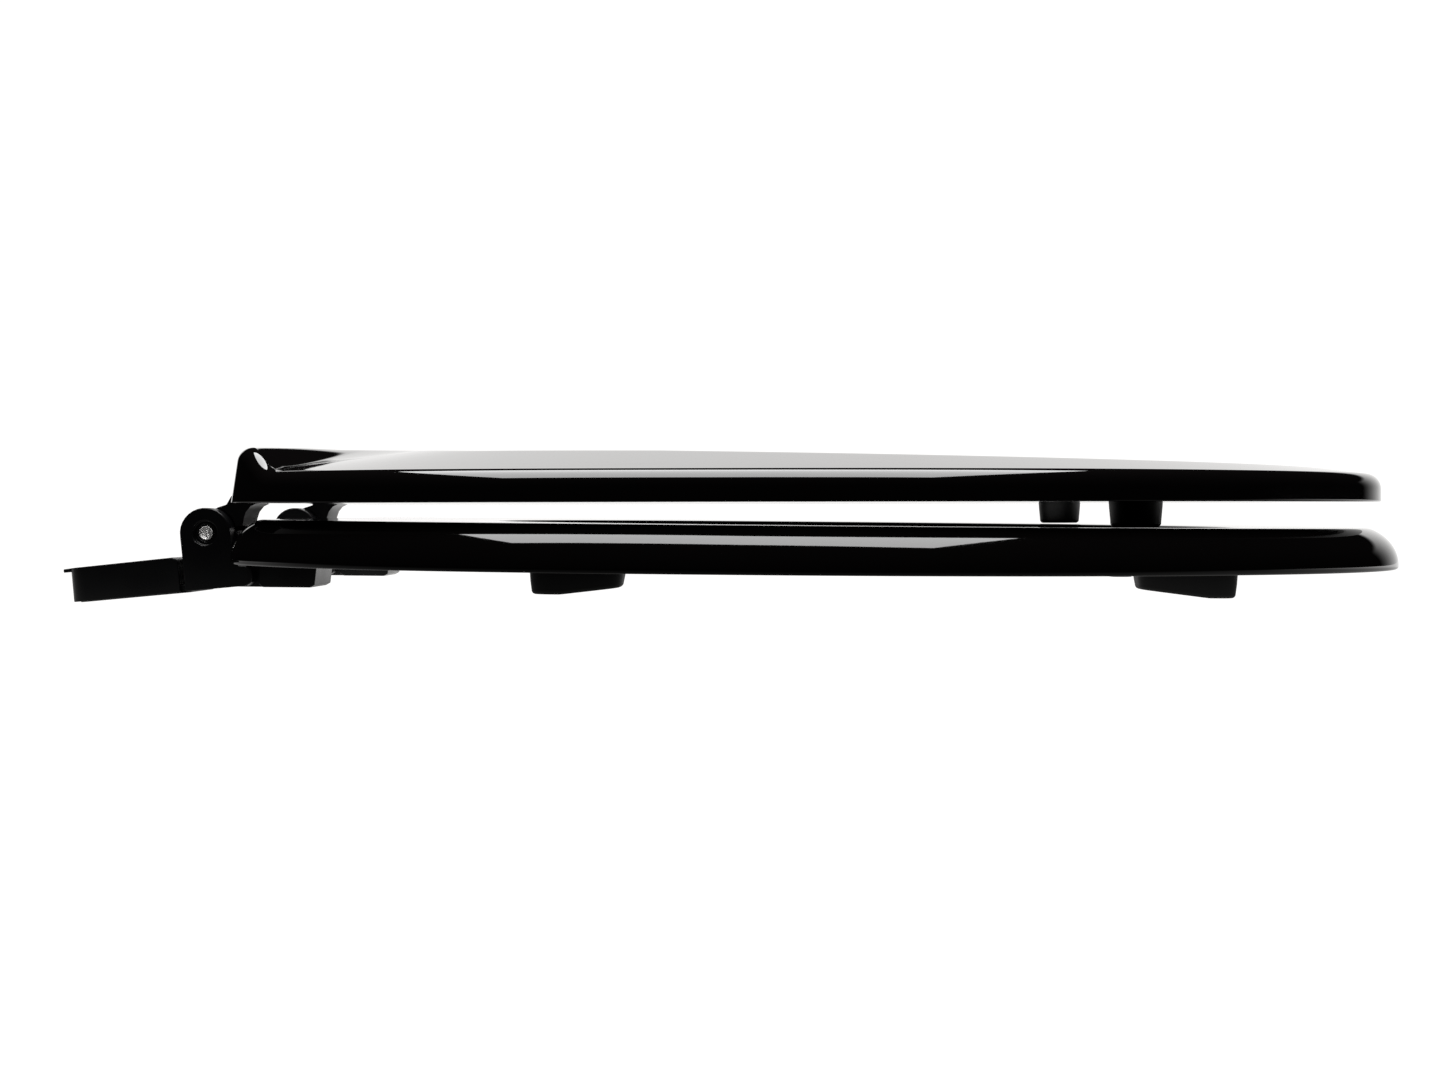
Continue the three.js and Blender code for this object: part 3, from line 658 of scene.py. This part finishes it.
def lid_bumper(x, y):
    """Loops of a round buffer: wall, rounded tip and screw well, all about one upright line."""
    low = LID_BOTTOM - LID_BUMPER_HIGH
    rows = [(9.0, LID_BOTTOM), (8.85, LID_BOTTOM - 2.5), (8.45, low + 2.2)]
    tip = np.linspace(0, np.pi / 2, 8)
    rows += [(7.0 + 1.4 * math.cos(s), low + 1.4 - 1.4 * math.sin(s)) for s in tip]
    rows += [(4.3, low), (4.0, low + 0.1), (WELL_R, low + 0.4)]
    rows += [(WELL_R, low + LID_WELL_DEEP), (1.0, low + LID_WELL_DEEP)]
    return hung(np.array([circle(radius, z, x, y) for radius, z in rows]), LID_SLOPE)


RING_BUMPERS = {  # x and y of the middle, half length, depths, and which way the deep end points
    "rear": (135.9, 150, 14.8, 7.3, 4.9, -1),
    "front": (333.4, 115, 16.7, 8.0, 5.2, 1),
}
for side, sign in SIDES.items():
    for where, (x, y, *form) in RING_BUMPERS.items():
        bumper = skin_of(f"ring_bumper_{where}_{side}_wedge", wedge_bumper(x, sign * y, *form))
        settle(bumper, rubber, "ring", "rubber", f"ring_bumper_{where}_{side}")
    bumper = skin_of(f"lid_bumper_{side}_buffer", lid_bumper(LID_BUMPER_AT[0], sign * LID_BUMPER_AT[1]))
    settle(bumper, rubber, "lid", "rubber", f"lid_bumper_{side}")
print("bumpers: 4 wedges and 2 round buffers")

# %% [markdown]
# ## Pins and screws
#
# A hinge pin is a steel rod whose end was struck in a header: it has a bright rolled rim and a
# rough, slightly sunken face. A screw's head is a low disc with a cross recess. The recess is a
# dent whose depth depends on the distance to the nearer of two crossing lines.


# %% Pins and screws
PIN_R, PIN_HALF, PIN_OUT = 2.6, 15.2, 0.5  # the rod, and how far it stands out to one side
SHANK_R, HEAD_R, HEAD_HIGH = 1.9, 3.6, 1.2


def pin_loops(y, outward):
    """A rod along Y: the face sinks by 0.25 mm inside a rim that is rounded by 0.45 mm."""
    face = [(0.3, 0.25), (1.2, 0.24), (1.75, 0.2), (1.95, 0.05), (2.1, 0.0)]
    rim = np.linspace(0.2, np.pi / 2, 7)
    face += [(2.15 + 0.45 * math.sin(s), 0.45 - 0.45 * math.cos(s)) for s in rim]
    rows = [(r, PIN_HALF + PIN_OUT - sunk) for r, sunk in face]
    rows += [(PIN_R, -PIN_HALF + PIN_OUT), (PIN_R - 0.5, -PIN_HALF)]
    rod = [[r * np.cos(angle), outward * at + 0 * angle, r * np.sin(angle)] for r, at in rows]
    return hung(np.array(rod).transpose(0, 2, 1) + (0, y, 0), POST_SLOPE)


def screw_loops(x, y, z, length):
    """A screw pointing up, the underside of its head at z. The cross is 0.5 mm wide, 0.7 deep."""
    rows = []
    for r in np.linspace(0.1, 2.3, 12):
        arm = np.minimum(np.abs(r * np.cos(angle)), np.abs(r * np.sin(angle)))
        dent = np.clip((0.5 - arm) / 0.15, 0, 1) * np.clip((2.1 - r) / 0.3, 0, 1)
        rows.append(circle(r, z - HEAD_HIGH, x, y) + np.stack([0 * dent, 0 * dent, 0.7 * dent], -1))
    rim = ((3.1, HEAD_HIGH), (3.4, 1.1), (3.55, 0.9), (HEAD_R, 0.6), (HEAD_R, 0.0))
    rows += [circle(r, z - up, x, y) for r, up in rim]
    shank = ((SHANK_R, 0.0), (SHANK_R, length - 2), (0.2, length))
    rows += [circle(r, z + up, x, y) for r, up in shank]
    return np.array(rows)


# %% Where the screws go
HINGE_Y = 67  # middle of each hinge
STRAP_UNDER, STRAP_RECESS = -18.7, 2.4
LEAF_UNDER, LEAF_RECESS = LID_BOTTOM - 0.4, 1.3
RING_TIPS, LID_TIPS = RING_BOTTOM + 9, LID_BOTTOM + 8  # how far up the screws reach
SEAT_SCREWS = [(20, -5.5), (20, 5.5), (31, 0)]
LID_SCREWS = [(25, -6), (25, 6), (38, 0)]


def screw(name, body, slope, x, y, head, tip):
    """A screw from the underside of its head up to its tip, hung like the piece that it holds."""
    loops = hung(screw_loops(x, y, head, tip - head), slope)
    settle(skin_of(f"{name}_cross", loops), zinc, body, "steel", name)


for side, sign in SIDES.items():
    middle = HINGE_Y * sign
    settle(skin_of(f"hinge_pin_{side}_rod", pin_loops(middle, sign)), steel,
           f"post_{side}", "steel", f"hinge_pin_{side}")
    head = STRAP_UNDER + STRAP_RECESS - SEAM
    for i, (x, y) in enumerate(SEAT_SCREWS, 1):
        screw(f"seat_strap_screw_{side}_{i}", "ring", RING_SLOPE, x, middle + y, head, RING_TIPS)
    head = LEAF_UNDER + LEAF_RECESS - SEAM
    for i, (x, y) in enumerate(LID_SCREWS, 1):
        screw(f"lid_strap_screw_{side}_{i}", "lid", LID_SLOPE, x, middle + y, head, LID_TIPS)
    for where, (x, y, half, deep, shallow, towards) in RING_BUMPERS.items():
        head = RING_BOTTOM - deep + WELL_DEEP - SEAM
        x += towards * (half - SCREW_IN)
        screw(f"ring_bumper_screw_{where}_{side}", "ring", RING_SLOPE, x, sign * y, head, RING_TIPS)
    x, y = LID_BUMPER_AT
    head = LID_BOTTOM - LID_BUMPER_HIGH + LID_WELL_DEEP - SEAM
    screw(f"lid_bumper_screw_{side}", "lid", LID_SLOPE, x, sign * y, head, LID_BOTTOM + 6.95)
print("pins: 2, screws: 18")

# %% [markdown]
# ## Studio
#
# The seat lies on a white sweep in a dark room. The sweep is lit so brightly that it is plain
# white behind and below the seat. One wide softbox hangs overhead and draws a soft band along
# the rounded shoulders. In front, the room is dark, so the polished walls stay black. The pins
# would be lost in that dark, so a small lamp with a snoot, here light linking, shines on the
# pins alone.

# %% Floor, backdrop and lights
WHITE = tone("#fffefd")
PAGE = 1.1  # strength of the plain white that is seen behind the seat


def lit(name, strength, fades):
    """White when looked at, from its bright side only. In reflections it is as bright as strength,
    times a smoothstep for each fade: an axis, where it is dark and where it is full, in metres."""
    material, tree, place = begin(name)
    axes = add(tree, "ShaderNodeSeparateXYZ", {"Vector": place})
    shine = strength
    for axis, dark, full in fades:
        fade = add(tree, "ShaderNodeMapRange", {
            "Value": axes.outputs[axis], "From Min": dark, "From Max": full,
        }, interpolation_type="SMOOTHSTEP")
        dimmed = add(tree, "ShaderNodeMath", {0: shine, 1: fade.outputs["Result"]}, operation="MULTIPLY")
        shine = dimmed.outputs[0]
    seen = add(tree, "ShaderNodeLightPath").outputs["Is Camera Ray"]
    level = add(tree, "ShaderNodeMix", {"Factor": seen, "A": shine, "B": PAGE}).outputs["Result"]
    glow = add(tree, "ShaderNodeEmission", {"Color": WHITE, "Strength": level})
    back = add(tree, "ShaderNodeNewGeometry").outputs["Backfacing"]
    clear = add(tree, "ShaderNodeBsdfTransparent")
    close(tree, add(tree, "ShaderNodeMixShader", {0: back, 1: glow.outputs[0], 2: clear.outputs[0]}))
    return material


def board(name, corners, material):
    """A flat four-cornered stage sheet, corners in metres, in order round its bright side."""
    mesh = bpy.data.meshes.new(name)
    mesh.from_pydata(corners, [], [(0, 1, 2, 3)])
    mesh.materials.append(material)
    obj = bpy.data.objects.new(name, mesh)
    scene.collection.objects.link(obj)
    return obj


REACH = 3.0  # of the floor, each way, in metres
floor = lit("lit_white_sweep", 1.1, [("Y", -0.25, 0.2), ("X", -0.75, -0.25)])
board("floor", [(-REACH, -REACH, 0), (REACH, -REACH, 0), (REACH, REACH, 0), (-REACH, REACH, 0)], floor)

FAR, LEFT, RIGHT, TOP = 1.6, -1.15, 2.1, 0.62  # of the backdrop, in metres
sheet = lit("lit_white_backdrop", 1.05, [("Z", TOP, 0.5), ("X", LEFT, -1.0), ("X", RIGHT, 0.7)])
board("backdrop", [(LEFT, FAR, 0), (RIGHT, FAR, 0), (RIGHT, FAR, TOP), (LEFT, FAR, TOP)], sheet)
print("floor and backdrop")

# %% Softbox and catch light
softbox = bpy.data.lights.new("softbox", "AREA")
softbox.shape = "RECTANGLE"
softbox.size = 1.05
softbox.size_y = 1.3
softbox.energy = 33.0
lamp = bpy.data.objects.new("softbox", softbox)
lamp.location = (-0.025, -0.13, 1.03)
scene.collection.objects.link(lamp)
lamp.visible_camera = False

catch = bpy.data.lights.new("catch_light_on_the_pin", "AREA")
catch.shape = "DISK"
catch.size = 0.15
catch.energy = 1.5
glint = bpy.data.objects.new("catch_light_on_the_pin", catch)
glint.location = (-0.42, -0.9, 0.4)
glint.rotation_euler = (math.radians(65), 0.0, math.radians(-15))
scene.collection.objects.link(glint)
glint.visible_camera = False
snoot = bpy.data.collections.new("pins_in_the_catch_light")
for side in SIDES:
    snoot.objects.link(bpy.data.objects[f"hinge_pin_{side}_rod"])
glint.light_linking.receiver_collection = snoot
print("softbox", softbox.energy, "W, catch light", catch.energy, "W")

# %% Room
world = bpy.data.worlds.new("dark_room")
world.use_nodes = True
scene.world = world
tree = world.node_tree
tree.nodes.clear()
seen = add(tree, "ShaderNodeLightPath").outputs["Is Camera Ray"]
room = add(tree, "ShaderNodeBackground", {"Color": tone("#101011"), "Strength": 0.4})
page = add(tree, "ShaderNodeBackground", {"Color": WHITE, "Strength": PAGE})
mixed = add(tree, "ShaderNodeMixShader", {0: seen, 1: room.outputs[0], 2: page.outputs[0]})
add(tree, "ShaderNodeOutputWorld", {"Surface": mixed.outputs[0]})
scene.view_settings.view_transform = "Standard"
print("room: dark, with a white page behind")
